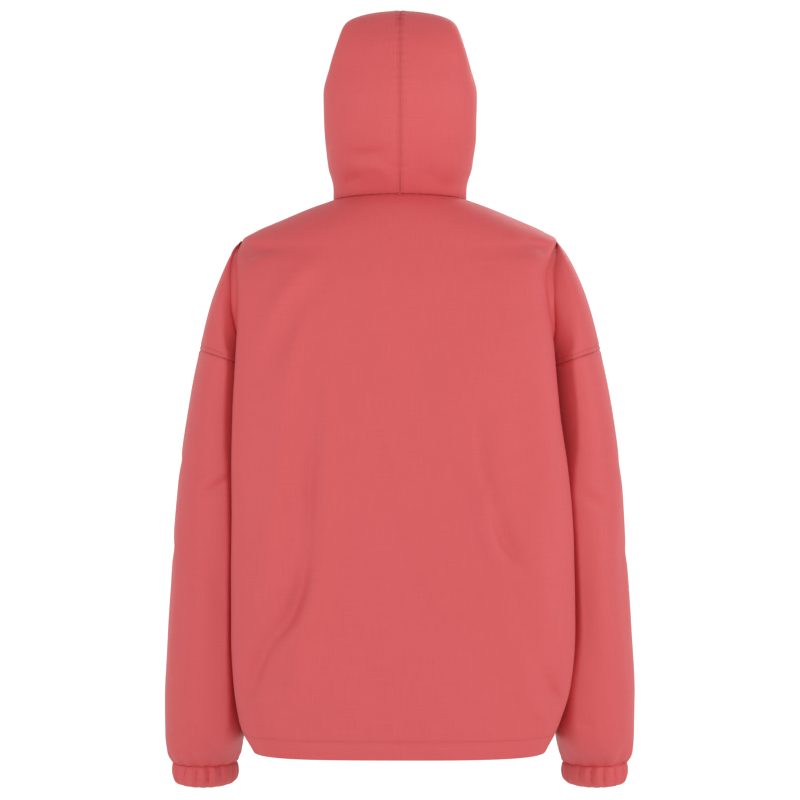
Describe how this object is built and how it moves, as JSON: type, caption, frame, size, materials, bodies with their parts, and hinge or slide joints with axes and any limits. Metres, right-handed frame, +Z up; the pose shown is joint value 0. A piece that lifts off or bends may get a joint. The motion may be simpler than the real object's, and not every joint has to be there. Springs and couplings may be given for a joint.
{
  "type": "hooded anorak pullover",
  "caption": "Loose pullover anorak in its worn, hollow shape, with the hood up, dropped shoulders, full sleeves gathered into elastic cuffs and a short front zip.",
  "frame": {"origin": "middle of the neck opening, at the height of the hood's seam at the centre back", "axes": "+Z up along the wearer, the front faces -Y, +X is the wearer's left"},
  "size_m": [0.566, 0.293, 0.9289],
  "materials": {
    "back_panel": "matte woven shell cloth",
    "front_panel": "matte woven shell cloth",
    "sleeve_left": "matte woven shell cloth",
    "sleeve_right": "matte woven shell cloth",
    "cuff_left": "matte woven shell cloth",
    "cuff_right": "matte woven shell cloth",
    "hood_left": "matte woven shell cloth",
    "hood_right": "matte woven shell cloth",
    "zip_tape_left": "matte woven tape",
    "zip_tape_right": "matte woven tape",
    "zip_teeth": "moulded, satin",
    "zip_slider": "satin enamel on cast metal",
    "zip_pull_tab": "satin enamel on cast metal"
  },
  "bodies": {
    "garment": {"back_panel": "back_panel", "front_panel": "front_panel", "sleeve_left": "sleeve_left", "sleeve_right": "sleeve_right", "cuff_left": "cuff_left", "cuff_right": "cuff_right", "hood_left": "hood_left", "hood_right": "hood_right", "zip_tape_left": "zip_tape_left", "zip_tape_right": "zip_tape_right", "zip_teeth": "zip_teeth", "zip_slider": "zip_slider"},
    "pull_tab": {"zip_pull_tab": "zip_pull_tab"}
  },
  "joints": [
    {"name": "pull_tab_swing", "type": "hinge", "parent": "garment", "child": "pull_tab", "pos_m": [0, -0.08565, -0.08178], "axis": [-1, 0, 0], "range_deg": [0, 150]}
  ]
}
